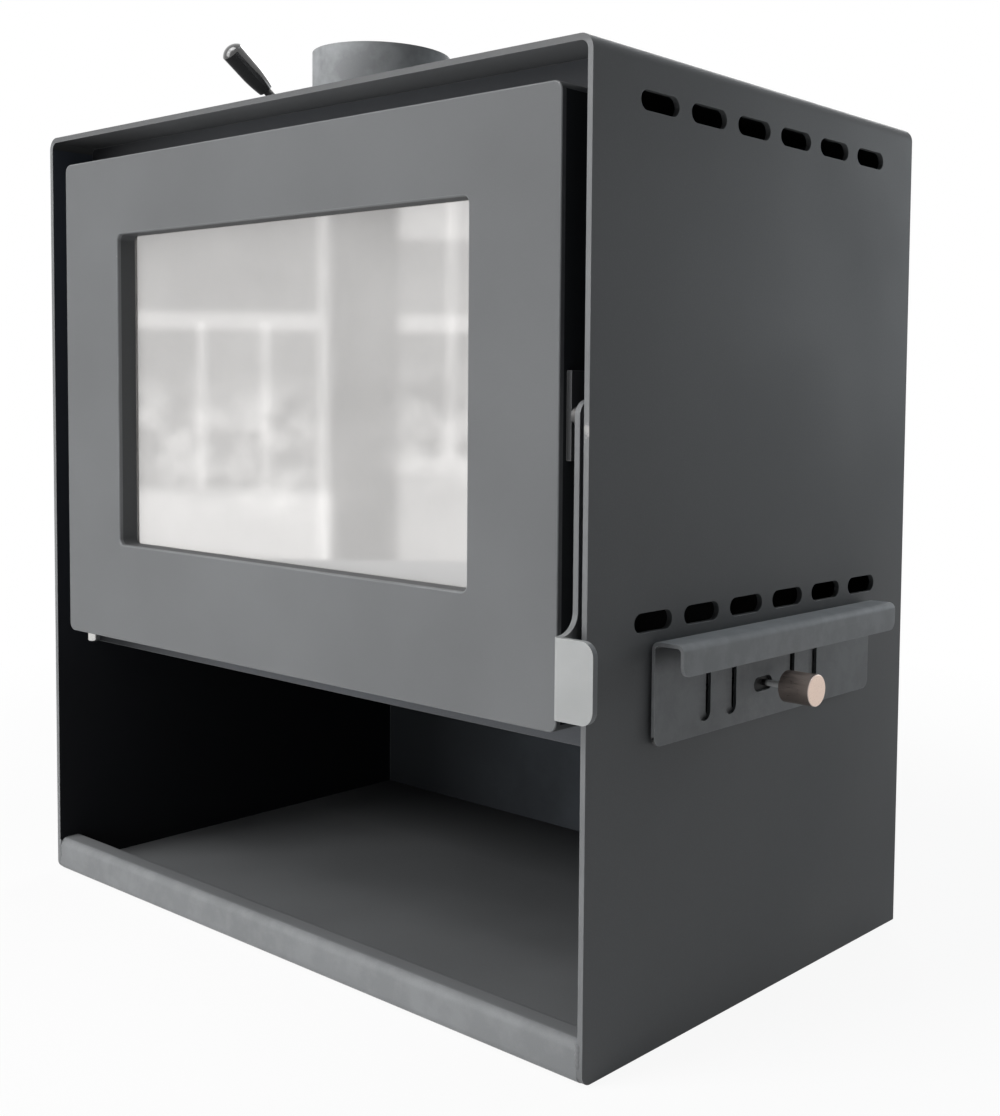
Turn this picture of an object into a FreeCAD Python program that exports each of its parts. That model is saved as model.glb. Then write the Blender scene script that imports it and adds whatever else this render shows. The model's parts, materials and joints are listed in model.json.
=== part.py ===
"""Freestanding steel wood-burning fireplace with a glazed door, a log store and a side air control.

Millimetres. +X is right, +Y is back, +Z is up.
The origin is on the floor, under the middle of the casing.
"""
import FreeCAD, Part
import math
import os

V = FreeCAD.Vector

# Casing: one bent sheet (left side, top, right side), open at the front
casing_width = 730.0
casing_depth = 450.0
casing_height = 750.0
sheet = 5.0
casing_bend = 12.0
toe_radius = 9.0

# Rows of convection slots in both sides
vent_length = 45.0
vent_height = 15.0
vent_pitch = 60.0
vent_count = 6
upper_vent_drop = 37.5
lower_vent_lift = 14.0

# Base tray: floor of the log store, folded up into a front lip
tray_sheet = 5.0
tray_bend = 8.0
lip_height = 33.0
lip_ledge = 26.0
lip_return = 15.0

# Front frame and the plate between log store and fire
frame_sheet = 5.0
store_roof_z = 235.0
store_roof_sheet = 5.0

# Firebox and its lining
firebox_side_gap = 70.0
firebox_depth = 345.0
firebox_sheet = 5.0
firebox_roof_drop = 55.0
plenum_height = 55.0
hearth_thickness = 30.0
liner_thickness = 25.0
smoke_gap = 55.0
baffle_thickness = 20.0
baffle_length = 255.0
baffle_clearance = 1.0
post_size = 40.0
post_spread_x = 200.0
post_spread_y = 95.0
guard_height = 50.0
guard_sheet = 5.0
grate_length = 240.0
grate_width = 160.0
grate_thickness = 18.0
grate_ledge = 10.0
grate_clearance = 2.0
grate_slot_width = 10.0
grate_slot_pitch = 24.0
grate_slot_count = 8
grate_border = 22.0

# Flue collar and damper
collar_radius = 62.0
collar_wall = 3.0
collar_shoulder = 1.0
collar_rise = 54.0
collar_setback = 122.5
collar_clearance = 1.5
spindle_radius = 4.0
spindle_bend = 10.0
spindle_flat = 1.0
damper_lever_x = -128.7
damper_lean = 52.9
damper_plate_clearance = 2.0
damper_plate_half = 42.0
damper_plate_sheet = 3.0
damper_screw_spread = 30.0
damper_screw_radius = 4.0
damper_screw_head = 2.5
bush_radius = 8.0
bush_length = 12.0
bush_lift = 2.0
stop_ring_radius = 8.0
stop_ring_length = 8.0
stop_ring_gap = 0.3
grip_start = 42.0
grip_length = 52.5
grip_neck_length = 20.0
grip_neck_swell = 0.35
grip_low_radius = 7.4
grip_belly_radius = 9.9
grip_top_radius = 10.4
grip_dome = 5.0
grip_bore_depth = 16.0

# Door
door_gap = 24.0
door_lift = 19.0
door_depth = 36.0
door_sheet = 4.0
door_corner = 8.0
door_edge_round = 1.6
window_side_margin = 94.0
window_bottom_margin = 94.0
window_top_margin = 74.0
window_corner = 6.0
reveal_depth = 15.0
reveal_sheet = 2.0
reveal_flange = 24.0
glass_thickness = 4.0
glass_overlap = 10.0
glass_gasket_thickness = 1.5
clip_width = 18.0
clip_sheet = 2.0
clip_bend = 3.0
clip_grip = 7.0
clip_spread = 86.0
clip_screw_radius = 1.75
clip_screw_head_radius = 2.8
clip_screw_head = 2.5
carrier_sheet = 4.0
carrier_margin = 26.0
carrier_hinge_gap = 18.0
mouth_overlap = 28.0
mouth_top_margin = 33.0
seal_inset = 8.0
seal_width = 12.0
seal_space = 7.0
seal_gap = 0.3

# Door hinge on the left
hinge_inset = 14.0
hinge_setback = 18.0
hinge_pin_radius = 4.0
hinge_pin_head_radius = 5.7
hinge_pin_head_height = 12.0
hinge_pin_head_round = 1.9
hinge_cap_radius = 6.0
hinge_cap_height = 2.0
hinge_washer_play = 0.3
lug_radius = 9.0
lug_arm_half = 6.0
lug_height = 12.0
lug_gap = 4.0
lug_notch_margin = 4.0

# Latch handle on the right side of the door
latch_plate = 5.0
latch_casing_gap = 2.0
latch_pad = 5.0
latch_pad_height = 65.0
latch_pad_width = 24.0
latch_pad_setback = 8.0
latch_pivot_rise = 230.0
latch_pivot_setback = 14.0
latch_end_radius = 12.0
latch_bolt_radius = 4.0
latch_bolt_head = 3.2
latch_bolt_head_radius = 7.0
latch_nut_height = 6.0
latch_nut_radius = 7.5
latch_spacer_radius = 7.0
latch_face_gap = 0.3
latch_heel = 20.0
tab_reach = 20.0
tab_width = 39.0
tab_rise = 16.0
tab_height = 59.0
tab_bend = 6.0
tab_corner = 11.0
hook_reach = 52.0
hook_height = 12.0
hook_rise = 2.0
hook_nose = 4.0
hook_nose_length = 12.0
keeper_sheet = 5.0
keeper_height = 25.0
keeper_gap = 0.8
latch_slot_width = 11.0
latch_slot_drop = 40.0

# Air control on the right side
air_plate_length = 310.0
air_plate_lift = 2.0
air_plate_height = 80.0
air_plate_sheet = 3.0
air_plate_corner = 8.0
hood_reach = 33.0
hood_lip = 24.0
hood_bend = 6.0
hood_corner = 8.0
air_centre_y = -15.5
air_port_inner = 42.0
air_port_outer = 76.5
air_port_width = 15.0
air_port_height = 48.0
air_port_rise = 34.0
guide_height = 3.5
guide_top_drop = 10.5
guide_end_margin = 20.0
slider_sheet = 2.4
slider_gap = 0.3
slider_end_margin = 22.0
slider_cover = 13.0
slider_overlap = 2.0
rod_radius = 2.6
rod_lead = 7.5
rod_rise = 28.0
rod_slot_height = 12.0
rod_slot_play = 2.0
knob_radius = 13.0
knob_length = 29.0
knob_reach = 55.0
knob_edge_round = 0.8
knob_bore_depth = 12.0
duct_margin = 8.0
duct_sheet = 3.0

# Fits
running_clearance = 0.05
bore_slack = 0.05

# Points nearer than this are the same point
touching = 1e-6

# Levels and places that follow from the sizes above
half_width = casing_width / 2
inner_half = half_width - sheet
front_y = -casing_depth / 2
back_y = casing_depth / 2
back_inner_y = back_y - sheet
inner_top = casing_height - sheet

frame_y = front_y + door_depth + seal_space
frame_back_y = frame_y + frame_sheet
store_roof_top = store_roof_z + store_roof_sheet

hearth_z = store_roof_top + plenum_height
hearth_top = hearth_z + hearth_thickness
wall_outer = inner_half - firebox_side_gap
wall_inner = wall_outer - firebox_sheet
liner_inner = wall_inner - liner_thickness
firebox_roof_top = casing_height - firebox_roof_drop
firebox_roof_z = firebox_roof_top - firebox_sheet
firebox_back_y = frame_back_y + firebox_depth
hearth_mid_y = frame_back_y + firebox_depth / 2
baffle_top = firebox_roof_z - smoke_gap
liner_top = baffle_top - baffle_thickness
grate_seat = hearth_top - grate_thickness

collar_y = front_y + collar_setback
collar_bore = collar_radius - collar_wall
collar_top = casing_height + collar_rise
sleeve_radius = collar_radius + collar_shoulder
spindle_z = casing_height + bush_lift + bush_radius
spigot_z = spindle_z + bush_radius
bush_end = sleeve_radius + bush_length
stop_ring_start = bush_end + stop_ring_gap
damper_plate_radius = collar_bore - damper_plate_clearance
damper_seat = spindle_radius - spindle_flat

door_half = inner_half - door_gap
door_bottom = store_roof_z + door_lift
door_top = inner_top - door_gap
door_back_y = front_y + door_depth
door_skin_y = front_y + door_sheet
pan_half = door_half - door_sheet
pan_bottom = door_bottom + door_sheet
pan_top = door_top - door_sheet
window_half = door_half - window_side_margin
window_bottom = door_bottom + window_bottom_margin
window_top = door_top - window_top_margin
flange_back_y = door_skin_y + reveal_depth
glass_y = flange_back_y + glass_gasket_thickness
glass_back_y = glass_y + glass_thickness
mouth_half = window_half + mouth_overlap
mouth_top = window_top + mouth_top_margin

hinge_x = -door_half + hinge_inset
hinge_y = front_y + hinge_setback
hinge_washer_radius = hinge_inset - door_corner - hinge_washer_play
lower_lug_z = pan_bottom + lug_gap
upper_lug_z = pan_top - lug_gap - lug_height

bolt_neck_x = inner_half - latch_casing_gap - latch_bolt_head
latch_x = bolt_neck_x - latch_face_gap - latch_plate
latch_mid_x = latch_x + latch_plate / 2
pivot_y = front_y + latch_pivot_setback
pivot_z = door_bottom + latch_pivot_rise
tab_low = door_bottom + tab_rise
tab_top = tab_low + tab_height
hook_top = pivot_z + hook_rise
keeper_z = hook_top + hook_nose + keeper_gap

air_plate_x = half_width + slider_sheet + 2 * slider_gap
air_face_x = air_plate_x + air_plate_sheet
air_plate_bottom = store_roof_z + air_plate_lift
air_plate_top = air_plate_bottom + air_plate_height
air_port_offsets = (-air_port_outer, -air_port_inner, air_port_inner, air_port_outer)
air_port_z = air_plate_bottom + air_port_rise
lower_vent_z = air_plate_top + lower_vent_lift
upper_guide_z = air_plate_top - guide_top_drop - guide_height
slider_x = half_width + slider_gap
slider_bottom = air_plate_bottom + guide_height + slider_gap
slider_top = upper_guide_z - slider_gap
slider_half = air_port_outer + air_port_width / 2 + slider_end_margin
rod_z = air_plate_bottom + rod_rise
slider_mid_y = air_centre_y + slider_cover / 2
opening_travel = slider_cover
closing_travel = air_port_width + slider_overlap - slider_cover
rod_y = air_centre_y + rod_lead
rod_slot_y = rod_y + (closing_travel - opening_travel) / 2
rod_slot_length = opening_travel + closing_travel + 2 * (rod_radius + rod_slot_play)
knob_x = half_width + knob_reach - knob_length


def box(x0, x1, y0, y1, z0, z1):
    """Box between two corners."""
    return Part.makeBox(x1 - x0, y1 - y0, z1 - z0, V(x0, y0, z0))


def rod(radius, start, end):
    """Round bar from start to end."""
    return Part.makeCylinder(radius, (end - start).Length, start, end - start)


def outline(points):
    """Closed wire through points; a point given as a pair (middle, end) is the end of an arc."""
    edges = []
    last = points[0]
    for point in points[1:]:
        if isinstance(point, tuple):
            edges.append(Part.Arc(last, point[0], point[1]).toShape())
            last = point[1]
        elif (point - last).Length > touching:
            edges.append(Part.LineSegment(last, point).toShape())
            last = point
    if (last - points[0]).Length > touching:
        edges.append(Part.LineSegment(last, points[0]).toShape())
    return Part.Wire(edges)


def rounded_outline(u0, u1, v0, v1, radius, place):
    """Rectangle with rounded corners, laid in space by place(u, v)."""
    cut = radius * (1 - math.sqrt(0.5))
    return outline([
        place(u0 + radius, v0),
        place(u1 - radius, v0),
        (place(u1 - cut, v0 + cut), place(u1, v0 + radius)),
        place(u1, v1 - radius),
        (place(u1 - cut, v1 - cut), place(u1 - radius, v1)),
        place(u0 + radius, v1),
        (place(u0 + cut, v1 - cut), place(u0, v1 - radius)),
        place(u0, v0 + radius),
        (place(u0 + cut, v0 + cut), place(u0 + radius, v0)),
    ])


def obround_outline(u_mid, v_mid, length, width, place):
    """Slot outline along u with half-round ends, laid in space by place(u, v)."""
    radius = width / 2
    left = u_mid - length / 2 + radius
    right = u_mid + length / 2 - radius
    return outline([
        place(left, v_mid - radius),
        place(right, v_mid - radius),
        (place(right + radius, v_mid), place(right, v_mid + radius)),
        place(left, v_mid + radius),
        (place(left - radius, v_mid), place(left, v_mid - radius)),
    ])


def solid(wire, along):
    """Solid swept from a flat closed wire."""
    return Part.Face(wire).extrude(along)


def on_front(y):
    """Place for outlines drawn in X and Z at depth y."""
    return lambda u, v: V(u, y, v)


def on_side(x):
    """Place for outlines drawn in Y and Z at width x."""
    return lambda u, v: V(x, u, v)


def plate_xz(x0, x1, z0, z1, y0, y1, radius):
    """Upright plate facing the front, with rounded corners."""
    return solid(rounded_outline(x0, x1, z0, z1, radius, on_front(y0)), V(0, y1 - y0, 0))


def ring_xz(inner, outer, y0, y1, inner_radius, outer_radius):
    """Upright rectangular ring between two (x0, x1, z0, z1) rectangles."""
    body = plate_xz(*outer, y0, y1, outer_radius)
    return body.cut(plate_xz(*inner, y0, y1, inner_radius))


def offset_rectangle(rectangle, amount):
    """(x0, x1, z0, z1) grown by amount on every side."""
    x0, x1, z0, z1 = rectangle
    return (x0 - amount, x1 + amount, z0 - amount, z1 + amount)


def heading(start, end):
    """Unit direction from one flat point to another."""
    length = math.dist(start, end)
    return ((end[0] - start[0]) / length, (end[1] - start[1]) / length)


def ahead(point, direction, distance):
    """Flat point moved along a direction."""
    return (point[0] + direction[0] * distance, point[1] + direction[1] * distance)


def beside(point, direction, distance):
    """Flat point moved to the left of a direction."""
    return (point[0] - direction[1] * distance, point[1] + direction[0] * distance)


def offset_edges(points, radius, offset, place):
    """Points and arcs of a polyline moved sideways by offset, rounded at its inner corners."""
    path = [place(*beside(points[0], heading(points[0], points[1]), offset))]
    for before, corner, after in zip(points, points[1:], points[2:]):
        arriving = heading(before, corner)
        leaving = heading(corner, after)
        cross = arriving[0] * leaving[1] - arriving[1] * leaving[0]
        dot = arriving[0] * leaving[0] + arriving[1] * leaving[1]
        side = math.copysign(1.0, cross)
        tangent = radius * math.tan(math.acos(dot) / 2)
        start = ahead(corner, arriving, -tangent)
        end = ahead(corner, leaving, tangent)
        centre = beside(start, arriving, side * radius)
        middle = ahead(centre, heading(centre, corner), radius - side * offset)
        path.append(place(*beside(start, arriving, offset)))
        path.append((place(*middle), place(*beside(end, leaving, offset))))
    path.append(place(*beside(points[-1], heading(points[-2], points[-1]), offset)))
    return path


def reverse_path(path):
    """The same points and arcs, walked from the other end."""
    result = []
    for i in range(len(path) - 1, -1, -1):
        here = path[i]
        point = here[1] if isinstance(here, tuple) else here
        later = path[i + 1] if i + 1 < len(path) else None
        result.append((later[0], point) if isinstance(later, tuple) else point)
    return result


def bent_sheet(points, bend, thickness, place, along):
    """Sheet of even thickness folded along a middle line; bend is the outside radius."""
    middle_radius = bend - thickness / 2
    left = offset_edges(points, middle_radius, thickness / 2, place)
    right = offset_edges(points, middle_radius, -thickness / 2, place)
    return solid(outline(left + reverse_path(right)), along)


def round_edges(shape, radius, wanted):
    """Fillet the edges for which wanted(edge) is true."""
    return shape.makeFillet(radius, [edge for edge in shape.Edges if wanted(edge)])


def lies_at(edge, axis, value):
    """True if every end of the edge has this coordinate."""
    return all(abs(getattr(vertex, axis) - value) < touching for vertex in edge.Vertexes)


def spans(edge, length):
    """True if the edge has this length."""
    return abs(edge.Length - length) < touching


def air_ports(x0, x1, shift=0.0):
    """The four upright air slots, as cutters from x0 to x1."""
    place = lambda u, v: V(x0, v, u)
    cutters = []
    for offset in air_port_offsets:
        middle = air_centre_y + offset + shift
        wire = obround_outline(air_port_z, middle, air_port_height, air_port_width, place)
        cutters.append(solid(wire, V(x1 - x0, 0, 0)))
    return cutters


def air_window(x0, x1):
    """Rectangle behind all the air slots, as a cutter from x0 to x1."""
    half = air_port_outer + air_port_width / 2
    tall = air_port_height / 2
    return box(x0, x1, air_centre_y - half, air_centre_y + half, air_port_z - tall, air_port_z + tall)


def outer_casing():
    half = half_width - sheet / 2
    top = casing_height - sheet / 2
    line = [(-half, 0), (-half, top), (half, top), (half, 0)]
    shape = bent_sheet(line, casing_bend, sheet, on_front(front_y), V(0, casing_depth, 0))
    toes = lambda edge: lies_at(edge, "Y", front_y) and lies_at(edge, "Z", 0)
    shape = round_edges(shape, toe_radius, toes)
    first = -(vent_count - 1) / 2 * vent_pitch
    for z in (casing_height - upper_vent_drop, lower_vent_z):
        for i in range(vent_count):
            y = first + i * vent_pitch
            wire = obround_outline(y, z, vent_length, vent_height, on_side(-half_width))
            shape = shape.cut(solid(wire, V(casing_width, 0, 0)))
    shape = shape.cut(collar_rod(sleeve_radius + collar_clearance, inner_top, casing_height))
    return shape.cut(air_window(inner_half, half_width))


def base_tray():
    low = tray_sheet / 2
    front = front_y + tray_sheet / 2
    top = lip_height - tray_sheet / 2
    ledge = front_y + lip_ledge - tray_sheet / 2
    line = [(back_inner_y, low), (front, low), (front, top), (ledge, top), (ledge, lip_height - lip_return)]
    return bent_sheet(line, tray_bend, tray_sheet, on_side(-inner_half), V(2 * inner_half, 0, 0))


def casing_plate(y0, y1, z0):
    """Upright plate that fills the casing's width from z0 up into its two bends."""
    shape = box(-inner_half, inner_half, y0, y1, z0, inner_top)
    top_corners = lambda edge: lies_at(edge, "Z", inner_top) and spans(edge, y1 - y0)
    return round_edges(shape, casing_bend - sheet, top_corners)


def back_panel():
    return casing_plate(back_inner_y, back_y, 0)


def log_store_roof():
    return box(-inner_half, inner_half, frame_back_y, back_inner_y, store_roof_z, store_roof_top)


def front_frame():
    shape = casing_plate(frame_y, frame_back_y, store_roof_z)
    shape = shape.cut(box(-mouth_half, mouth_half, frame_y, frame_back_y, hearth_top, mouth_top))
    half = latch_slot_width / 2
    slot = box(latch_mid_x - half, latch_mid_x + half, frame_y, frame_back_y,
               keeper_z - latch_slot_drop, keeper_z)
    return shape.cut(slot)


def firebox_side(side):
    x0, x1 = sorted((side * wall_inner, side * wall_outer))
    return box(x0, x1, frame_back_y, firebox_back_y, store_roof_top, firebox_roof_z)


def firebox_right_wall():
    return firebox_side(1).cut(air_window(wall_inner, wall_outer))


def firebox_back_wall():
    return box(-wall_outer, wall_outer, firebox_back_y, firebox_back_y + firebox_sheet,
               store_roof_top, firebox_roof_z)


def firebox_roof():
    shape = box(-wall_outer, wall_outer, frame_back_y, firebox_back_y + firebox_sheet,
                firebox_roof_z, firebox_roof_top)
    return shape.cut(collar_rod(collar_bore, firebox_roof_z, firebox_roof_top))


def hearth_posts():
    half = post_size / 2
    posts = []
    for x in (-post_spread_x, post_spread_x):
        for y in (hearth_mid_y - post_spread_y, hearth_mid_y + post_spread_y):
            posts.append(box(x - half, x + half, y - half, y + half, store_roof_top, hearth_z))
    return Part.makeCompound(posts)


def grate_box(grow, z0, z1):
    """Block over the plan of the grate, grown by grow on every side."""
    half_length = grate_length / 2 + grow
    half_width = grate_width / 2 + grow
    return box(-half_length, half_length, hearth_mid_y - half_width, hearth_mid_y + half_width, z0, z1)


def hearth_slab():
    shape = box(-wall_inner, wall_inner, frame_back_y, firebox_back_y, hearth_z, hearth_top)
    shape = shape.cut(grate_box(grate_clearance, grate_seat, hearth_top))
    return shape.cut(grate_box(-grate_ledge, hearth_z, grate_seat))


def hearth_grate():
    shape = grate_box(0, grate_seat, hearth_top)
    length = grate_width - 2 * grate_border
    first = -(grate_slot_count - 1) / 2 * grate_slot_pitch
    place = lambda u, v: V(v, u, grate_seat)
    for i in range(grate_slot_count):
        x = first + i * grate_slot_pitch
        wire = obround_outline(hearth_mid_y, x, length, grate_slot_width, place)
        shape = shape.cut(solid(wire, V(0, 0, grate_thickness)))
    return shape


def liner_side(side):
    x0, x1 = sorted((side * liner_inner, side * wall_inner))
    return box(x0, x1, frame_back_y, firebox_back_y - liner_thickness, hearth_top, liner_top)


def liner_back():
    return box(-wall_inner, wall_inner, firebox_back_y - liner_thickness, firebox_back_y,
               hearth_top, liner_top)


def baffle():
    half = wall_inner - baffle_clearance
    front = frame_back_y + baffle_clearance
    return box(-half, half, front, front + baffle_length, liner_top, baffle_top)


def log_guard():
    return box(-liner_inner, liner_inner, frame_back_y, frame_back_y + guard_sheet,
               hearth_top, hearth_top + guard_height)


def collar_rod(radius, z0, z1):
    """Round bar about the flue's axis."""
    return rod(radius, V(0, collar_y, z0), V(0, collar_y, z1))


def flue_collar():
    """Pipe on the firebox roof, reduced above the bushes to the spigot that the flue slips over."""
    sleeve = collar_rod(sleeve_radius, firebox_roof_top, spigot_z)
    spigot = collar_rod(collar_radius, spigot_z, collar_top)
    shape = sleeve.fuse(spigot).cut(collar_rod(collar_bore, firebox_roof_top, collar_top))
    return shape.cut(spindle_bore(-sleeve_radius, sleeve_radius))


def spindle_rod(radius, x0, x1):
    """Round bar about the damper's axis."""
    return rod(radius, V(x0, collar_y, spindle_z), V(x1, collar_y, spindle_z))


def spindle_bore(x0, x1):
    return spindle_rod(spindle_radius + running_clearance, x0, x1)


def damper_bushes():
    pipe = collar_rod(sleeve_radius, casing_height, collar_top)
    bushes = []
    for side in (-1, 1):
        bush = spindle_rod(bush_radius, side * collar_bore, side * bush_end)
        bushes.append(bush.cut(pipe).cut(spindle_bore(-bush_end, bush_end)))
    return Part.makeCompound(bushes)


def damper_spindle():
    """Round bar through the collar, bent at its left end into the lever arm."""
    lean = math.radians(damper_lean)
    arm = V(0, -math.sin(lean), math.cos(lean))
    right_end = V(stop_ring_start + stop_ring_length, collar_y, spindle_z)
    corner = V(damper_lever_x, collar_y, spindle_z)
    before = corner + V(spindle_bend, 0, 0)
    after = corner + arm * spindle_bend
    centre = before + arm * spindle_bend
    middle = centre + (corner - centre).normalize() * spindle_bend
    tip = corner + arm * (grip_start + grip_bore_depth)
    path = Part.Wire([
        Part.LineSegment(right_end, before).toShape(),
        Part.Arc(before, middle, after).toShape(),
        Part.LineSegment(after, tip).toShape(),
    ])
    section = Part.Wire([Part.makeCircle(spindle_radius, right_end, V(1, 0, 0))])
    shape = path.makePipeShell([section], True, False)
    return shape.cut(on_lean(plate_block(spindle_radius)))


def plate_block(far):
    """Block over the trimmed damper plate, from its seat on the spindle out to far."""
    return box(-damper_plate_radius, damper_plate_radius, damper_seat, far,
               -damper_plate_half, damper_plate_half)


def on_lean(shape):
    """Turn a shape drawn about the spindle's axis, with the lever upright, to the lever's lean."""
    shape.rotate(V(0, 0, 0), V(1, 0, 0), damper_lean)
    shape.translate(V(0, collar_y, spindle_z))
    return shape


def damper_plate():
    disc = Part.makeCylinder(damper_plate_radius, damper_plate_sheet, V(0, damper_seat, 0), V(0, 1, 0))
    return on_lean(disc.common(plate_block(damper_seat + damper_plate_sheet)))


def damper_screws():
    face = damper_seat + damper_plate_sheet
    heads = []
    for x in (-damper_screw_spread, damper_screw_spread):
        head = Part.makeCylinder(damper_screw_radius, damper_screw_head, V(x, face, 0), V(0, 1, 0))
        heads.append(on_lean(head))
    return Part.makeCompound(heads)


def damper_stop_ring():
    end = stop_ring_start + stop_ring_length
    ring = spindle_rod(stop_ring_radius, stop_ring_start, end)
    return ring.cut(spindle_rod(spindle_radius + bore_slack, stop_ring_start, end))


def damper_grip():
    """Handle turned about the lever arm, drawn in towards the arm, with a domed end."""
    end = grip_start + grip_length
    shoulder = end - grip_dome
    belly = grip_start + grip_neck_length
    place = lambda u, v: V(u, 0, v)
    neck_mid = place((grip_low_radius + grip_belly_radius) / 2 + grip_neck_swell, (grip_start + belly) / 2)
    dome_radius = (grip_top_radius ** 2 + grip_dome ** 2) / (2 * grip_dome)
    half = math.asin(grip_top_radius / dome_radius) / 2
    dome_mid = place(dome_radius * math.sin(half), end - dome_radius * (1 - math.cos(half)))
    profile = outline([
        place(0, grip_start),
        place(grip_low_radius, grip_start),
        (neck_mid, place(grip_belly_radius, belly)),
        place(grip_top_radius, shoulder),
        (dome_mid, place(0, end)),
    ])
    shape = Part.Face(profile).revolve(V(0, 0, 0), V(0, 0, 1), 360)
    bore = Part.makeCylinder(spindle_radius + bore_slack, grip_bore_depth, V(0, 0, grip_start))
    shape = on_lean(shape.cut(bore))
    shape.translate(V(damper_lever_x, 0, 0))
    return shape


def door_panel():
    """Pan-shaped front of the door, open at the back, with the window cut out."""
    shape = plate_xz(-door_half, door_half, door_bottom, door_top, front_y, door_back_y, door_corner)
    shape = shape.cut(plate_xz(-pan_half, pan_half, pan_bottom, pan_top, door_skin_y, door_back_y,
                               door_corner - door_sheet))
    shape = shape.cut(plate_xz(*window_rectangle(), front_y, door_skin_y, window_corner))
    shape = round_edges(shape, door_edge_round, lambda edge: lies_at(edge, "Y", front_y))
    for low in (lower_lug_z, upper_lug_z):
        shape = shape.cut(box(-door_half, -pan_half, door_skin_y, door_back_y,
                              low - lug_notch_margin, low + lug_height + lug_notch_margin))
    for z in (door_bottom, pan_top):
        shape = shape.cut(hinge_rod(hinge_pin_radius + bore_slack, z, z + door_sheet))
    return shape.cut(pivot_rod(latch_bolt_radius + bore_slack, pan_half, door_half))


def window_rectangle():
    return (-window_half, window_half, window_bottom, window_top)


def window_surround():
    """Angle-section frame: the reveal behind the window and the flange that the glass seats on."""
    opening = window_rectangle()
    flange_y = flange_back_y - reveal_sheet
    web = ring_xz(opening, offset_rectangle(opening, reveal_sheet), door_skin_y, flange_back_y,
                  window_corner, window_corner + reveal_sheet)
    flange = ring_xz(opening, offset_rectangle(opening, reveal_flange), flange_y, flange_back_y,
                     window_corner, window_corner)
    shape = web.fuse(flange).removeSplitter()
    for x, z, _, _ in clip_places():
        shape = shape.cut(rod(clip_screw_radius + bore_slack, V(x, flange_y, z), V(x, flange_back_y, z)))
    return shape


def glass_rectangle():
    return offset_rectangle(window_rectangle(), glass_overlap)


def glass_gasket():
    return ring_xz(window_rectangle(), glass_rectangle(), flange_back_y, glass_y,
                   window_corner, window_corner)


def glass_pane():
    return plate_xz(*glass_rectangle(), glass_y, glass_back_y, window_corner)


def clip_places():
    """Screw centre and inward direction of each glass clip."""
    x0, x1, z0, z1 = offset_rectangle(window_rectangle(), (glass_overlap + reveal_flange) / 2)
    middle = (z0 + z1) / 2
    places = [(x0, middle, 1, 0), (x1, middle, -1, 0)]
    for x in (-clip_spread, clip_spread):
        places.append((x, z0, 0, 1))
        places.append((x, z1, 0, -1))
    return places


def glass_clip(x, z, inward_x, inward_z):
    """Z-shaped clip: a foot on the flange, a step, and a tongue over the edge of the glass."""
    foot_half = (reveal_flange - glass_overlap) / 2
    step = foot_half - clip_bend + clip_sheet / 2
    tongue = foot_half + clip_grip
    low = flange_back_y + clip_sheet / 2
    high = glass_back_y + clip_sheet / 2
    line = [(-foot_half, low), (step, low), (step, high), (tongue, high)]
    place = lambda u, v: V(u, v, -clip_width / 2)
    shape = bent_sheet(line, clip_bend, clip_sheet, place, V(0, 0, clip_width))
    seat = V(0, flange_back_y, 0)
    shape = shape.cut(rod(clip_screw_radius + bore_slack, seat, seat + V(0, clip_sheet, 0)))
    shape.rotate(V(0, 0, 0), V(0, 1, 0), -math.degrees(math.atan2(inward_z, inward_x)))
    shape.translate(V(x, 0, z))
    return shape


def glass_clips():
    return Part.makeCompound([glass_clip(*place) for place in clip_places()])


def clip_screws():
    screws = []
    for x, z, _, _ in clip_places():
        seat = flange_back_y + clip_sheet
        shank = rod(clip_screw_radius, V(x, flange_back_y - reveal_sheet, z), V(x, seat, z))
        head = rod(clip_screw_head_radius, V(x, seat, z), V(x, seat + clip_screw_head, z))
        screws.append(shank.fuse(head).removeSplitter())
    return Part.makeCompound(screws)


def seal_carrier():
    """Back plate of the door: closes the pan around the glass and carries the rope seal."""
    opening = offset_rectangle(window_rectangle(), carrier_margin)
    front = door_back_y - carrier_sheet
    shape = box(hinge_x + carrier_hinge_gap, pan_half, front, door_back_y, pan_bottom, pan_top)
    right_corners = lambda edge: lies_at(edge, "X", pan_half) and spans(edge, carrier_sheet)
    shape = round_edges(shape, door_corner - door_sheet, right_corners)
    return shape.cut(plate_xz(*opening, front, door_back_y, window_corner))


def door_seal():
    mouth = (-mouth_half, mouth_half, hearth_top, mouth_top)
    inner = offset_rectangle(mouth, seal_inset)
    outer = offset_rectangle(inner, seal_width)
    return ring_xz(inner, outer, door_back_y, frame_y - seal_gap, window_corner, window_corner + seal_width)


def hinge_rod(radius, z0, z1):
    """Round bar about the door's hinge axis."""
    return rod(radius, V(hinge_x, hinge_y, z0), V(hinge_x, hinge_y, z1))


def hinge_lug(z):
    """Round eye on an arm that is welded to the front frame."""
    top = z + lug_height
    eye = hinge_rod(lug_radius, z, top)
    arm = box(hinge_x - lug_arm_half, hinge_x + lug_arm_half, hinge_y, frame_y, z, top)
    return eye.fuse(arm).removeSplitter().cut(hinge_rod(hinge_pin_radius + running_clearance, z, top))


def hinge_pin_lower():
    """Headed pin screwed up through the bottom of the door into the lower lug."""
    foot = door_bottom - hinge_pin_head_height
    head = hinge_rod(hinge_pin_head_radius, foot, door_bottom)
    head = round_edges(head, hinge_pin_head_round, lambda edge: lies_at(edge, "Z", foot))
    shank = hinge_rod(hinge_pin_radius, door_bottom, lower_lug_z + lug_height)
    return head.fuse(shank).removeSplitter()


def hinge_pin_upper():
    """Pin with a thin head, dropped through the top of the door into the upper lug."""
    head = hinge_rod(hinge_cap_radius, door_top, door_top + hinge_cap_height)
    shank = hinge_rod(hinge_pin_radius, upper_lug_z, door_top)
    return head.fuse(shank).removeSplitter()


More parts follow.
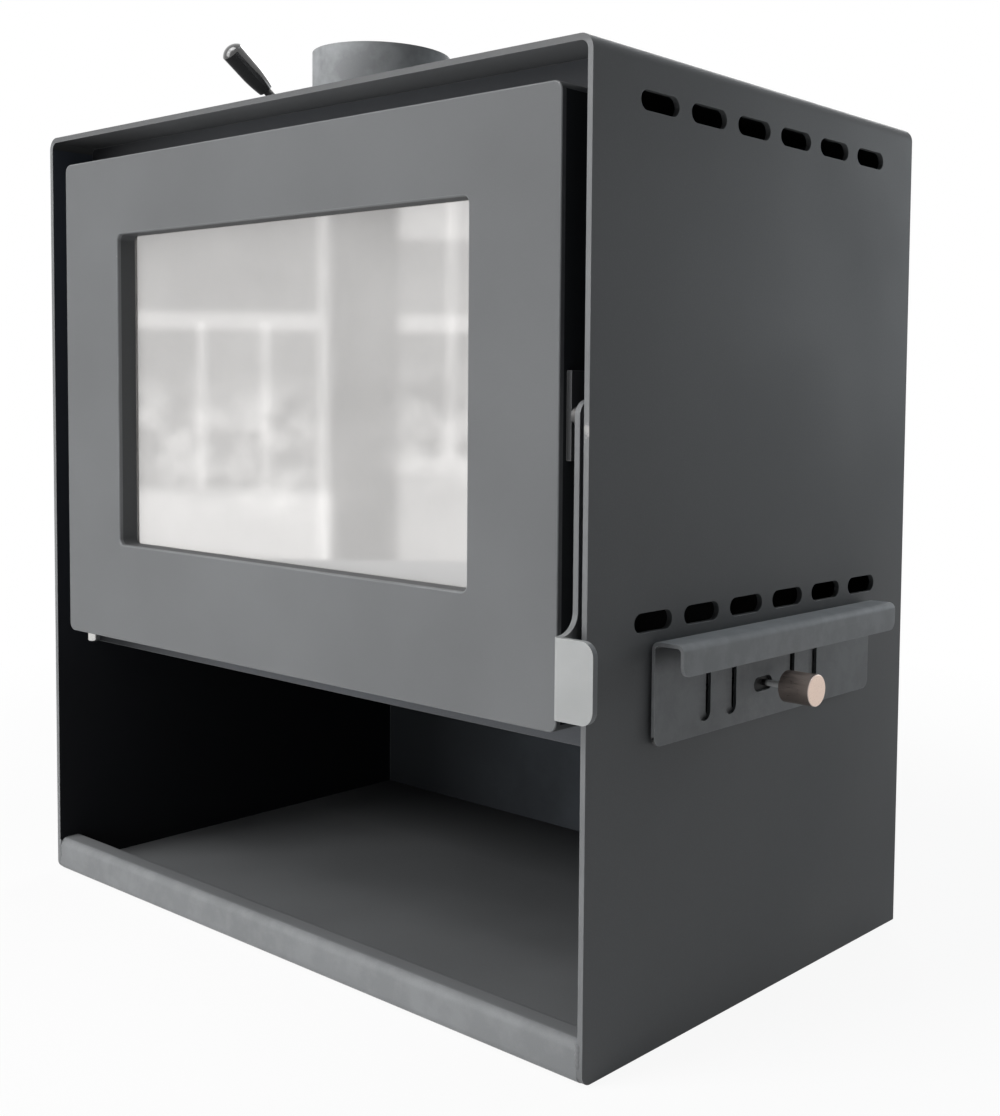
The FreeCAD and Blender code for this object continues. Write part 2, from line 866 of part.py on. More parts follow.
def hinge_washers():
    """Washers that carry the door: one on top of the upper lug, one under the lower lug."""
    thickness = lug_gap - hinge_washer_play
    washers = []
    for z in (pan_bottom, pan_top - thickness):
        washer = hinge_rod(hinge_washer_radius, z, z + thickness)
        washers.append(washer.cut(hinge_rod(hinge_pin_radius + bore_slack, z, z + thickness)))
    return Part.makeCompound(washers)


def pivot_rod(radius, x0, x1):
    """Round bar about the latch's pivot axis."""
    return rod(radius, V(x0, pivot_y, pivot_z), V(x1, pivot_y, pivot_z))


def latch_pivot_pad():
    low = pivot_z - latch_pad_height / 2
    y0 = front_y + latch_pad_setback
    shape = box(door_half, door_half + latch_pad, y0, y0 + latch_pad_width, low, low + latch_pad_height)
    return shape.cut(pivot_rod(latch_bolt_radius + bore_slack, door_half, door_half + latch_pad))


def latch_spacer():
    x0 = door_half + latch_pad
    x1 = latch_x - latch_face_gap
    return pivot_rod(latch_spacer_radius, x0, x1).cut(pivot_rod(latch_bolt_radius + bore_slack, x0, x1))


def latch_bolt():
    shank = pivot_rod(latch_bolt_radius, pan_half - latch_nut_height, bolt_neck_x)
    head = pivot_rod(latch_bolt_head_radius, bolt_neck_x, bolt_neck_x + latch_bolt_head)
    return shank.fuse(head).removeSplitter()


def latch_nut():
    inside = pan_half - latch_nut_height
    sides = 6
    corners = []
    for i in range(sides):
        angle = 2 * math.pi * i / sides
        y = pivot_y + latch_nut_radius * math.cos(angle)
        z = pivot_z + latch_nut_radius * math.sin(angle)
        corners.append(V(inside, y, z))
    nut = solid(outline(corners), V(latch_nut_height, 0, 0))
    return nut.cut(pivot_rod(latch_bolt_radius + bore_slack, inside, pan_half))


def latch_handle():
    """Lever plate with a hook at the back and a finger tab folded out to the right at the front."""
    place = on_side(latch_x)
    front = pivot_y - latch_end_radius
    rear = pivot_y + latch_end_radius
    tab_y = front_y - tab_reach
    fold_y = tab_y + tab_bend
    hook_start = pivot_y + math.sqrt(latch_end_radius ** 2 - hook_rise ** 2)
    hook_end = pivot_y + hook_reach
    nose_start = hook_end - hook_nose_length
    neck = front - fold_y
    neck_cut = neck * math.sqrt(0.5)
    plate = solid(outline([
        place(fold_y, tab_low),
        place(front, tab_low),
        place(rear, tab_low + latch_heel),
        place(rear, hook_top - hook_height),
        place(hook_end, hook_top - hook_height),
        place(hook_end, hook_top + hook_nose / 2),
        place(hook_end - hook_nose / 2, hook_top + hook_nose),
        place(nose_start, hook_top + hook_nose),
        place(nose_start, hook_top),
        place(hook_start, hook_top),
        (place(pivot_y, pivot_z + latch_end_radius), place(front, pivot_z)),
        place(front, tab_top + neck),
        (place(fold_y + neck_cut, tab_top + neck - neck_cut), place(fold_y, tab_top)),
    ]), V(latch_plate, 0, 0))
    middle_y = tab_y + latch_plate / 2
    tab_end = latch_x + tab_width
    line = [(latch_mid_x, fold_y), (latch_mid_x, middle_y), (tab_end, middle_y)]
    tab = bent_sheet(line, tab_bend, latch_plate, lambda u, v: V(u, v, tab_low), V(0, 0, tab_height))
    end_corners = lambda edge: lies_at(edge, "X", tab_end) and spans(edge, latch_plate)
    tab = round_edges(tab, tab_corner, end_corners)
    shape = plate.fuse(tab).removeSplitter()
    return shape.cut(pivot_rod(latch_bolt_radius + running_clearance, latch_x, latch_x + latch_plate))


def latch_keeper():
    """Strip behind the front frame that the hook's nose pulls against."""
    half = latch_slot_width / 2
    return box(latch_mid_x - half, latch_mid_x + half, frame_back_y, frame_back_y + keeper_sheet,
               keeper_z, keeper_z + keeper_height)


def air_plate():
    """Face plate of the air control, folded at the top into a hood with a down-turned lip."""
    middle = air_plate_x + air_plate_sheet / 2
    ledge = air_plate_top - air_plate_sheet / 2
    lip = half_width + hood_reach - air_plate_sheet / 2
    lip_low = air_plate_top - hood_lip
    line = [(middle, air_plate_bottom), (middle, ledge), (lip, ledge), (lip, lip_low)]
    half = air_plate_length / 2
    shape = bent_sheet(line, hood_bend, air_plate_sheet, on_front(-half), V(0, air_plate_length, 0))
    for radius, low in ((air_plate_corner, air_plate_bottom), (hood_corner, lip_low)):
        corners = lambda edge: lies_at(edge, "Z", low) and spans(edge, air_plate_sheet)
        shape = round_edges(shape, radius, corners)
    for port in air_ports(air_plate_x, air_face_x):
        shape = shape.cut(port)
    slot = obround_outline(rod_slot_y, rod_z, rod_slot_length, rod_slot_height, on_side(air_plate_x))
    return shape.cut(solid(slot, V(air_plate_sheet, 0, 0)))


def air_guides():
    half = air_plate_length / 2 - guide_end_margin
    strips = []
    for z in (air_plate_bottom, upper_guide_z):
        strips.append(box(half_width, air_plate_x, -half, half, z, z + guide_height))
    return Part.makeCompound(strips)


def air_slider():
    """Sliding shutter with the same slots as the plate; at rest it covers most of each."""
    shape = box(slider_x, slider_x + slider_sheet, slider_mid_y - slider_half, slider_mid_y + slider_half,
                slider_bottom, slider_top)
    for port in air_ports(slider_x, slider_x + slider_sheet, slider_cover):
        shape = shape.cut(port)
    return shape


def air_rod_bar(radius, x0, x1):
    """Round bar about the axis of the air control's rod."""
    return rod(radius, V(x0, rod_y, rod_z), V(x1, rod_y, rod_z))


def air_rod():
    return air_rod_bar(rod_radius, slider_x + slider_sheet, knob_x + knob_bore_depth)


def air_knob():
    end = knob_x + knob_length
    shape = air_rod_bar(knob_radius, knob_x, end)
    rims = lambda edge: lies_at(edge, "X", knob_x) or lies_at(edge, "X", end)
    shape = round_edges(shape, knob_edge_round, rims)
    return shape.cut(air_rod_bar(rod_radius + bore_slack, knob_x, knob_x + knob_bore_depth))


def air_duct():
    """Box between the casing and the firebox that leads the air under the hearth."""
    half = air_port_outer + air_port_width / 2 + duct_margin
    top = air_port_z + air_port_height / 2 + duct_margin
    shape = box(wall_outer, inner_half, air_centre_y - half, air_centre_y + half, store_roof_top, top)
    return shape.cut(box(wall_outer, inner_half, air_centre_y - half + duct_sheet,
                         air_centre_y + half - duct_sheet, store_roof_top + duct_sheet, top - duct_sheet))


nodes = {
    "outer_casing": outer_casing,
    "base_tray": base_tray,
    "back_panel": back_panel,
    "log_store_roof": log_store_roof,
    "front_frame": front_frame,
    "firebox_left_wall": lambda: firebox_side(-1),
    "firebox_right_wall": firebox_right_wall,
    "firebox_back_wall": firebox_back_wall,
    "firebox_roof": firebox_roof,
    "hearth_posts": hearth_posts,
    "hearth_slab": hearth_slab,
    "hearth_grate": hearth_grate,
    "liner_left": lambda: liner_side(-1),
    "liner_right": lambda: liner_side(1),
    "liner_back": liner_back,
    "baffle": baffle,
    "log_guard": log_guard,
    "flue_collar": flue_collar,
    "damper_bushes": damper_bushes,
    "damper_spindle": damper_spindle,
    "damper_plate": damper_plate,
    "damper_screws": damper_screws,
    "damper_stop_ring": damper_stop_ring,
    "damper_grip": damper_grip,
    "door_panel": door_panel,
    "window_surround": window_surround,
    "glass_gasket": glass_gasket,
    "glass_pane": glass_pane,
    "glass_clips": glass_clips,
    "clip_screws": clip_screws,
    "seal_carrier": seal_carrier,
    "door_seal": door_seal,
    "hinge_lug_lower": lambda: hinge_lug(lower_lug_z),
    "hinge_lug_upper": lambda: hinge_lug(upper_lug_z),
    "hinge_pin_lower": hinge_pin_lower,
    "hinge_pin_upper": hinge_pin_upper,
    "hinge_washers": hinge_washers,
    "latch_pivot_pad": latch_pivot_pad,
    "latch_spacer": latch_spacer,
    "latch_bolt": latch_bolt,
    "latch_nut": latch_nut,
    "latch_handle": latch_handle,
    "latch_keeper": latch_keeper,
    "air_plate": air_plate,
    "air_guides": air_guides,
    "air_slider": air_slider,
    "air_rod": air_rod,
    "air_knob": air_knob,
    "air_duct": air_duct,
}

os.makedirs("parts", exist_ok=True)
for name, make in nodes.items():
    shape = make()
    print(name, len(shape.Solids), shape.isValid(), round(shape.Volume / 1000, 2))
    shape.exportStep(f"parts/{name}.step")
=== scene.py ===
import json
import math
from collections import namedtuple

import bmesh
import bpy
from mathutils import Euler, Matrix, Vector


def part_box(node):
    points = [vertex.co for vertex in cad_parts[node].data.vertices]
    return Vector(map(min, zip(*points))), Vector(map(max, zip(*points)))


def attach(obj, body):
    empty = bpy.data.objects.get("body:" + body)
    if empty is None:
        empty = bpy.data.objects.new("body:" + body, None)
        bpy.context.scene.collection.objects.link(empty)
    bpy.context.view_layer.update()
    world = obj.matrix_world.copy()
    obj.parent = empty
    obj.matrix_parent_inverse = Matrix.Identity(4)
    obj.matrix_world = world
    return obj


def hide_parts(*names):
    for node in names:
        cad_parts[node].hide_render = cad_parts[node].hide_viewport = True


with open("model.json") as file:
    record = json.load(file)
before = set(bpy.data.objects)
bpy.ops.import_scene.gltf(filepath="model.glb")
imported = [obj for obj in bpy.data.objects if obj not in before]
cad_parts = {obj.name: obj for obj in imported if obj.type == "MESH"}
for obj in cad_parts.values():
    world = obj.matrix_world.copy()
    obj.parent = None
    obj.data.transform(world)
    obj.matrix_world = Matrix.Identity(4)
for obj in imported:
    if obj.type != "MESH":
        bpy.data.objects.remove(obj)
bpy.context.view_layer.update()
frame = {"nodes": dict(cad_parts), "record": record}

scene = bpy.context.scene
scene.view_settings.view_transform = "Standard"
mm = 0.001

nodes = frame["nodes"]
bodies = frame["record"]["behaviour"]["bodies"]
body_of = {node: body for body, members in bodies.items() for node in members}
slot_of = {part["node"]: part["material_slot"] for part in frame["record"]["subparts"]}

# Places and sizes on the part that several sections use

casing_low, casing_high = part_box("outer_casing")
tray_low, tray_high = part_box("base_tray")
door_low, door_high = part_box("door_panel")
latch_low, latch_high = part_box("latch_handle")
plate_low, plate_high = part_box("air_plate")
rod_low, rod_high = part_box("air_rod")
knob_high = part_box("air_knob")[1]
casing_sheet = 5 * mm
plate_sheet = 3 * mm
merge_distance = 0.001 * mm


# Shader helpers

def wire(tree, socket, value):
    """Gives a socket a plain value, or links another node's output to it."""
    if isinstance(value, bpy.types.NodeSocket):
        tree.links.new(value, socket)
    else:
        socket.default_value = value


def feed(tree, node, **inputs):
    """Gives a node's inputs their values or textures. An input's name has _ for each space."""
    for name, value in inputs.items():
        wire(tree, node.inputs[name.replace("_", " ")], value)


def shade(tree, kind, output, **inputs):
    """Adds a shader node and returns one of its outputs."""
    node = tree.nodes.new("ShaderNode" + kind)
    feed(tree, node, **inputs)
    return node.outputs[output]


def calc(tree, operation, *values, kind="Math"):
    """A sum, product or other step on numbers, or with the kind VectorMath on places."""
    node = tree.nodes.new("ShaderNode" + kind)
    node.operation = operation
    for socket, value in zip(node.inputs, values):
        wire(tree, socket, value)
    return node.outputs["Value"]


def blend(tree, share, first, second):
    """Goes from the first colour to the second as the share goes from 0 to 1."""
    node = tree.nodes.new("ShaderNodeMix")
    node.data_type = "RGBA"
    for index, value in ((0, share), (6, first), (7, second)):
        wire(tree, node.inputs[index], value)
    return node.outputs[2]


def noise(tree, where, size, detail=2.0, roughness=0.5):
    """Noise whose features are about as large as size."""
    return shade(tree, "TexNoise", "Fac", Vector=where, Scale=1 / size, Detail=detail,
                 Roughness=roughness)


def ramp(tree, value, start, end, low=0.0, high=1.0):
    """Maps start..end to low..high and clips what lies outside."""
    return shade(tree, "MapRange", "Result", Value=value, From_Min=start, From_Max=end,
                 To_Min=low, To_Max=high)


def full_range(tree, texture, low=0.0, high=1.0):
    """Maps a noise, which lies mostly between 0.3 and 0.7, to low..high."""
    return ramp(tree, texture, 0.3, 0.7, low, high)


def along(tree, where, axis):
    """The place on one axis."""
    return shade(tree, "SeparateXYZ", axis, Vector=where)


def stretched(tree, where, x, y, z):
    """Texture coordinates drawn out along an axis: a smaller number gives longer streaks."""
    return shade(tree, "Mapping", "Vector", Vector=where, Scale=(x, y, z))


def bumped(tree, surface, height, depth):
    """Raises the surface by the height texture times the depth."""
    normal = shade(tree, "Bump", "Normal", Height=height, Distance=depth, Strength=1.0)
    feed(tree, surface, Normal=normal)


def seen(tree):
    """1 for what the eye sees, directly, mirrored or through glass; 0 for the light on other things."""
    path = tree.nodes.new("ShaderNodeLightPath").outputs
    mirrored = calc(tree, "MAXIMUM", path["Is Glossy Ray"], path["Is Transmission Ray"])
    return calc(tree, "MAXIMUM", path["Is Camera Ray"], mirrored)


def grey(level, warmth=0.0):
    """A near-grey colour; a negative warmth is bluish."""
    return (level * (1 + warmth), level, level * (1 - warmth), 1.0)


def scaled(colour, factor):
    """A lighter or darker form of a colour."""
    return tuple(factor * part for part in colour[:3]) + (1.0,)


def new_material(name, **sockets):
    """A material with its tree, its surface shader and its object coordinates."""
    material = bpy.data.materials.new(name)
    material.use_nodes = True
    tree = material.node_tree
    surface = tree.nodes["Principled BSDF"]
    feed(tree, surface, **sockets)
    return material, tree, surface, shade(tree, "TexCoord", "Object")


# Kinds of material

# A fade of painted shade: dark at one place on an axis, unshaded at another.
Fade = namedtuple("Fade", "axis dark clean")
peel_size = 1.3 * mm
peel_depth = 0.05 * mm


def paint(name, colour, roughness, depth=peel_depth, soot=0.0, mottle=0.0, fade=None):
    """Heat-resistant sprayed paint: a cloudy coat with fine orange peel.

    It has soot or lighter patches where asked. A fade is painted shade: dark at one place on
    its axis and unshaded at another."""
    material, tree, surface, where = new_material(name, Specular_IOR_Level=0.2)
    clouds = noise(tree, where, 170 * mm, 3)
    specks = noise(tree, where, 0.6 * mm, 1)
    tone = blend(tree, full_range(tree, clouds), scaled(colour, 0.91), scaled(colour, 1.08))
    tone = blend(tree, ramp(tree, specks, 0.55, 0.8, 0.0, 0.35), tone, scaled(colour, 1.5))
    if soot:
        smoke = ramp(tree, noise(tree, where, 90 * mm, 5, 0.6), 0.35, 0.7, 0.0, soot)
        tone = blend(tree, smoke, tone, grey(0.008))
    if mottle:
        patches = ramp(tree, noise(tree, where, 24 * mm, 4, 0.6), 0.42, 0.62, 0.0, mottle)
        tone = blend(tree, patches, tone, scaled(colour, 1.7))
    if fade:
        clean = ramp(tree, along(tree, where, fade.axis), fade.dark, fade.clean)
        tone = blend(tree, clean, scaled(colour, 0.12), tone)
    gloss = full_range(tree, clouds, roughness - 0.05, roughness + 0.06)
    feed(tree, surface, Base_Color=tone, Roughness=gloss)
    bumped(tree, surface, noise(tree, where, peel_size, 2), depth)
    return material


def rim_shade_paint(name, colour, edge):
    """Paint of the door's side wall: the door's colour in front of the edge on Y, and black behind it as
    painted shade.
    """
    material, tree, surface, where = new_material(name, Specular_IOR_Level=0.2, Roughness=0.55)
    clouds = noise(tree, where, 40 * mm, 3)
    tone = blend(tree, clouds, scaled(colour, 0.85), scaled(colour, 1.15))
    black = blend(tree, clouds, grey(0.018, -0.1), grey(0.028, -0.1))
    behind = ramp(tree, along(tree, where, "Y"), edge, edge + 0.5 * mm)
    feed(tree, surface, Base_Color=blend(tree, behind, tone, black))
    bumped(tree, surface, noise(tree, where, peel_size, 2), peel_depth)
    return material


def slider_shade_paint(name, colour, rod_place, reach):
    """Paint of the air slider: rubbed light along the slots, and black round the rod as painted shade.
    """
    material, tree, surface, where = new_material(name, Specular_IOR_Level=0.25, Roughness=0.5)
    rubs = noise(tree, stretched(tree, where, 1.0, 0.1, 1.0), 2 * mm, 4)
    tone = blend(tree, rubs, scaled(colour, 0.85), scaled(colour, 1.15))
    from_rod = calc(tree, "ABSOLUTE", calc(tree, "SUBTRACT", along(tree, where, "Y"), rod_place))
    clean = ramp(tree, from_rod, reach, reach + 8 * mm)
    feed(tree, surface, Base_Color=blend(tree, clean, grey(0.012), tone))
    bumped(tree, surface, rubs, 0.03 * mm)
    return material


def worn_paint(name, colour, patch=None, reach=12 * mm, dull_above=None):
    """Thin paint on folded and cut edges, chipped to the steel here and there.

    It is chipped more within reach of a patch, and duller above a height, where these are given."""
    material, tree, surface, where = new_material(name, Specular_IOR_Level=0.4)
    clouds = noise(tree, where, 40 * mm, 3)
    chips = noise(tree, where, 5 * mm, 5, 0.65)
    wear = chips
    if patch is not None:
        distance = calc(tree, "DISTANCE", where, patch, kind="VectorMath")
        wear = calc(tree, "ADD", chips, ramp(tree, distance, reach / 3, reach, 0.22, 0.0))
    bare = ramp(tree, wear, 0.68, 0.74)
    tone = blend(tree, full_range(tree, clouds), scaled(colour, 0.9), scaled(colour, 1.1))
    if dull_above is not None:
        dull = ramp(tree, along(tree, where, "Z"), dull_above - 3 * mm, dull_above)
        tone = blend(tree, dull, tone, scaled(colour, 0.6))
    feed(tree, surface, Base_Color=blend(tree, bare, tone, grey(0.33, 0.01)),
         Metallic=calc(tree, "MULTIPLY", bare, 0.5), Roughness=full_range(tree, clouds, 0.38, 0.5))
    bumped(tree, surface, chips, 0.05 * mm)
    return material


def steel(name, colour, roughness, streak=(1.0, 1.0, 0.05), tarnish=0.25, metal=1.0, shaded_to=None):
    """Bare steel with drawn or turned streaks and a little tarnish; zinc plating is less of a mirror.

    A piece that comes out of a slot is painted black, as the slot's shade, up to a given place on the X
    axis."""
    material, tree, surface, where = new_material(name, Metallic=metal)
    lines = noise(tree, stretched(tree, where, *streak), 0.35 * mm, 3)
    clouds = noise(tree, where, 12 * mm, 4, 0.6)
    tone = blend(tree, lines, scaled(colour, 0.8), scaled(colour, 1.12))
    tone = blend(tree, ramp(tree, clouds, 0.45, 0.75, 0.0, tarnish), tone, (0.16, 0.13, 0.11, 1.0))
    if shaded_to is not None:
        clean = ramp(tree, along(tree, where, "X"), shaded_to, shaded_to + 3 * mm)
        tone = blend(tree, clean, grey(0.015), tone)
    gloss = full_range(tree, lines, roughness - 0.08, roughness + 0.1)
    feed(tree, surface, Base_Color=tone, Roughness=gloss)
    bumped(tree, surface, lines, 0.012 * mm)
    return material


def fire_board(name):
    """Vermiculite board: pale brown, pressed flakes, some glinting, lightly smoked."""
    material, tree, surface, where = new_material(name, Roughness=0.9, Specular_IOR_Level=0.2)
    flakes = shade(tree, "TexVoronoi", "Color", Vector=where, Scale=1 / (2.6 * mm), Randomness=1.0)
    flake = shade(tree, "SeparateColor", "Red", Color=flakes)
    grit = noise(tree, where, 1.0 * mm, 3)
    smoke = ramp(tree, noise(tree, where, 120 * mm, 4, 0.6), 0.42, 0.75, 0.0, 0.55)
    tone = blend(tree, flake, (0.36, 0.29, 0.20, 1.0), (0.60, 0.52, 0.40, 1.0))
    tone = blend(tree, ramp(tree, flake, 0.93, 0.95), tone, (0.78, 0.68, 0.46, 1.0))
    feed(tree, surface, Base_Color=blend(tree, smoke, tone, (0.07, 0.06, 0.05, 1.0)))
    bumped(tree, surface, calc(tree, "ADD", flake, grit), 0.25 * mm)
    return material


def cast_iron(name):
    """Sand-cast iron: dark, grainy, with small pits."""
    material, tree, surface, where = new_material(name, Specular_IOR_Level=0.4)
    sand = noise(tree, where, 1.1 * mm, 4, 0.6)
    pits = shade(tree, "TexVoronoi", "Distance", Vector=where, Scale=1 / (4 * mm))
    rust = ramp(tree, noise(tree, where, 25 * mm, 5, 0.6), 0.5, 0.8, 0.0, 0.4)
    tone = blend(tree, sand, grey(0.03), grey(0.075, 0.02))
    tone = blend(tree, rust, tone, (0.09, 0.055, 0.04, 1.0))
    feed(tree, surface, Base_Color=tone, Roughness=full_range(tree, sand, 0.62, 0.85))
    bumped(tree, surface, calc(tree, "ADD", sand, ramp(tree, pits, 0.0, 0.25, -0.6, 0.0)), 0.2 * mm)
    return material


def fire_glass(name):
    """Ceramic glass that mirrors its surroundings; its pale milky tone is partly a heat coating and
    partly painted reflection.
    """
    material, tree, surface, where = new_material(name, IOR=4.0, Transmission_Weight=0.35)
    pale_patches = noise(tree, where, 60 * mm, 4, 0.6)
    wipes = noise(tree, stretched(tree, where, 1.0, 1.0, 0.25), 9 * mm, 3)
    tone = blend(tree, pale_patches, grey(0.46, 0.015), grey(0.52, 0.015))
    feed(tree, surface, Base_Color=tone, Roughness=full_range(tree, wipes, 0.02, 0.06))
    return material


def fibre(name):
    """Woven glass-fibre rope and tape, greyed by handling."""
    material, tree, surface, where = new_material(name, Roughness=0.95, Specular_IOR_Level=0.15,
                                                  Sheen_Weight=0.3)
    threads = noise(tree, where, 0.7 * mm, 3, 0.6)
    smudge = ramp(tree, noise(tree, where, 30 * mm, 3), 0.45, 0.75, 0.0, 0.5)
    tone = blend(tree, threads, grey(0.28, 0.03), grey(0.55, 0.03))
    feed(tree, surface, Base_Color=blend(tree, smudge, tone, grey(0.14)))
    bumped(tree, surface, threads, 0.25 * mm)
    return material


def latch_coat(name, lever, tab):
    """Satin paint of the latch: as dark as the door on the lever, in part painted shade, light grey on
    the finger tab.
    """
    material, tree, surface, where = new_material(name, Specular_IOR_Level=0.35)
    clouds = noise(tree, where, 50 * mm, 3)
    tab_end = latch_low.y + 9 * mm
    behind = ramp(tree, along(tree, where, "Y"), tab_end, tab_end + 8 * mm)
    tone = blend(tree, behind, tab, lever)
    tone = blend(tree, full_range(tree, clouds, 0.0, 0.16), tone, grey(0.05))
    feed(tree, surface, Base_Color=tone, Roughness=full_range(tree, clouds, 0.38, 0.5))
    bumped(tree, surface, noise(tree, where, peel_size, 2), 0.04 * mm)
    return material


def glossy_black(name):
    """Moulded phenolic grip: black, glossy, with faint rub marks."""
    material, tree, surface, where = new_material(name, IOR=1.6, Coat_Weight=0.8, Coat_Roughness=0.06)
    rubs = noise(tree, stretched(tree, where, 1.0, 0.3, 0.3), 2.5 * mm, 4, 0.6)
    tone = blend(tree, rubs, grey(0.009), grey(0.018))
    feed(tree, surface, Base_Color=tone, Roughness=full_range(tree, rubs, 0.12, 0.22))
    bumped(tree, surface, rubs, 0.01 * mm)
    return material


# Paint of the casing, the store and the door, with painted light and shade

charcoal = (0.160, 0.165, 0.170, 1.0)
latch_rub = (casing_high.x - 1.5 * mm, casing_low.y, 472.5 * mm)  # the lever rubs the casing's edge here
rim_depth = 4.5 * mm  # the door's side is painted this far back
charcoal_paint = paint("charcoal_paint", charcoal, 0.52)
# Edges: chips and a rub of wear, and a lighter tone that is a painted highlight.
edge_wear_and_highlight = worn_paint("charcoal_edge", scaled(charcoal, 1.15), latch_rub,
                        dull_above=casing_high.z - 4 * mm)
# Painted shade: the casing's inner sides are near black, darker towards the bottom.
shaded_inside_paint = paint("shaded_inside_paint", (0.035, 0.040, 0.052, 1.0), 0.7,
                     fade=Fade("Z", dark=0.2, clean=0.75))
# Painted shade: the underside of the casing's top darkens towards the left.
shaded_top_paint = paint("shaded_top_paint", charcoal, 0.52, fade=Fade("X", dark=-0.38, clean=-0.18))
# Painted shade: the front frame is darker than the casing, and darker still towards the left.
shaded_frame_paint = paint("shaded_frame_paint", (0.090, 0.095, 0.105, 1.0), 0.52,
                    fade=Fade("X", dark=-0.36, clean=-0.12))
# Painted light: the lip's front is lighter than the casing.
lit_lip_paint = paint("lit_lip_paint", scaled(charcoal, 1.4), 0.5, mottle=0.2)
# Painted light and shade: the store's floor is lighter than the casing, and darker towards the back.
store_light_and_shade = paint("store_light_and_shade", scaled(charcoal, 1.2), 0.5, fade=Fade("Y", dark=0.24, clean=0.08))
# Painted shade: the store's back wall is dark and darkens towards the left, with dark blotches.
shaded_store_back = paint("shaded_store_back", (0.150, 0.168, 0.192, 1.0), 0.7, soot=0.4,
                   fade=Fade("X", dark=-0.28, clean=0.34))
# The collar is lighter than the casing: partly a lighter coat, partly painted light.
collar_coat_and_light = paint("collar_coat_and_light", scaled(charcoal, 1.85), 0.5, mottle=0.5)
# Painted shade: the window's reveal is darker than the casing.
shaded_reveal_paint = paint("shaded_reveal_paint", scaled(charcoal, 0.45), 0.6)
# Painted shade: the door's side is black behind the rim depth.
door_rim_shade = rim_shade_paint("door_rim_shade", scaled(charcoal, 1.1), door_low.y + rim_depth)
# Painted shade: the latch's pivot pad is near black in the gap by the door.
shaded_pad_paint = paint("shaded_pad_paint", scaled(charcoal, 0.35), 0.6)
shaded_pad_edge = worn_paint("shaded_pad_edge", scaled(charcoal, 0.4))

# Paint of the air control, with painted light and shade

plate_corner = plate_low + Vector((plate_sheet / 2, 0.0, 8 * mm))
# Painted shadow under the hood, and painted light: the plate is lighter than the casing.
hood_shadow = Fade("Z", dark=plate_high.z - 2 * mm, clean=plate_high.z - 26 * mm)
plate_light_and_shadow = paint("plate_light_and_shadow", scaled(charcoal, 1.75), 0.5, mottle=0.2, fade=hood_shadow)
# The plate's edges: chips of wear near the lower corner, and a lighter tone that is a painted highlight.
plate_edge_wear_and_highlight = worn_paint("plate_edge_wear_and_highlight", scaled(charcoal, 3.0), plate_corner, reach=28 * mm)
shadow_edge = worn_paint("shadow_edge", (0.045, 0.047, 0.050, 1.0), plate_corner, reach=32 * mm)
# Painted light: the hood is lighter than the casing.
lit_hood_paint = paint("lit_hood_paint", scaled(charcoal, 2.5), 0.5, mottle=0.2)
# Painted light: the slider is lighter than the casing.
shutter_light_and_shade = slider_shade_paint("shutter_light_and_shade", scaled(charcoal, 1.9),
                             rod_place=(rod_low.y + rod_high.y) / 2, reach=18 * mm)

# Firebox, latch, metal, glass and the rest

inner_paint = paint("firebox_black", grey(0.03, -0.01), 0.75, 0.08 * mm, soot=0.7)
inner_edge = worn_paint("firebox_edge", grey(0.05))
board = fire_board("refractory")
iron = cast_iron("grate_iron")
# The lighter latch edges are a painted highlight.
latch_paint = latch_coat("latch_grey", scaled(charcoal, 1.15), (0.43, 0.44, 0.44, 1.0))
latch_edge_highlight = latch_coat("latch_edge_highlight", scaled(charcoal, 1.4), (0.62, 0.63, 0.63, 1.0))
# Painted shade: the tab's outer edge is darker than the tab.
tab_edge_shade = paint("tab_edge_shade", scaled(charcoal, 1.8), 0.5)
turned_on_x = (0.05, 1.0, 1.0)
bright_steel = steel("bare_steel", (0.68, 0.68, 0.66, 1.0), 0.28)
dark_steel = steel("blackened_steel", (0.10, 0.10, 0.10, 1.0), 0.5)
# The rod is painted black as shade where it comes out of the slot.
plated_steel = steel("plated_steel", (0.88, 0.88, 0.87, 1.0), 0.35, turned_on_x, tarnish=0.0,
                     metal=0.15, shaded_to=plate_low.x + plate_sheet)
# The knob is one metal: its paler end is painted reflection, and its light rim a painted highlight.
bronze = steel("bronze_knob", (0.50, 0.42, 0.38, 1.0), 0.34, turned_on_x, tarnish=0.1)
knob_end_reflection = steel("painted_reflection_knob_end", (0.67, 0.53, 0.45, 1.0), 0.32, (1.0, 1.0, 0.15), tarnish=0.05)
knob_rim_highlight = steel("knob_rim_highlight", (0.85, 0.76, 0.70, 1.0), 0.2, (1.0, 1.0, 1.0), tarnish=0.0)
glass = fire_glass("fire_glass")
rope = fibre("rope_seal")
grip_black = glossy_black("black_grip")

# Finish of each material slot of the record: its edges have that radius, rounded in so many steps.
Finish = namedtuple("Finish", "face edge radius steps")
finish = {
    "charcoal_paint": Finish(charcoal_paint, edge_wear_and_highlight, 0.6 * mm, 2),
    "firebox_black": Finish(inner_paint, inner_edge, 0.4 * mm, 2),
    "refractory": Finish(board, board, 1.5 * mm, 2),
    "bare_steel": Finish(bright_steel, bright_steel, 0.3 * mm, 2),
    "grate_iron": Finish(iron, iron, 1.0 * mm, 2),
    "latch_grey": Finish(latch_paint, latch_edge_highlight, 0.8 * mm, 3),
    "fire_glass": Finish(glass, glass, 0.6 * mm, 2),
    "black_grip": Finish(grip_black, grip_black, 0.3 * mm, 2),
    "bronze_knob": Finish(bronze, knob_rim_highlight, 0.5 * mm, 3),
}


# Faces with a finish of their own

square = 0.9      # least share of its normal along an axis, for a face that is square to it
flush = 0.5 * mm  # most distance from the side of its node's box, for a face that lies in it


def middle_of(face):
    """The middle of a face's corners."""
    return face.calc_center_median()


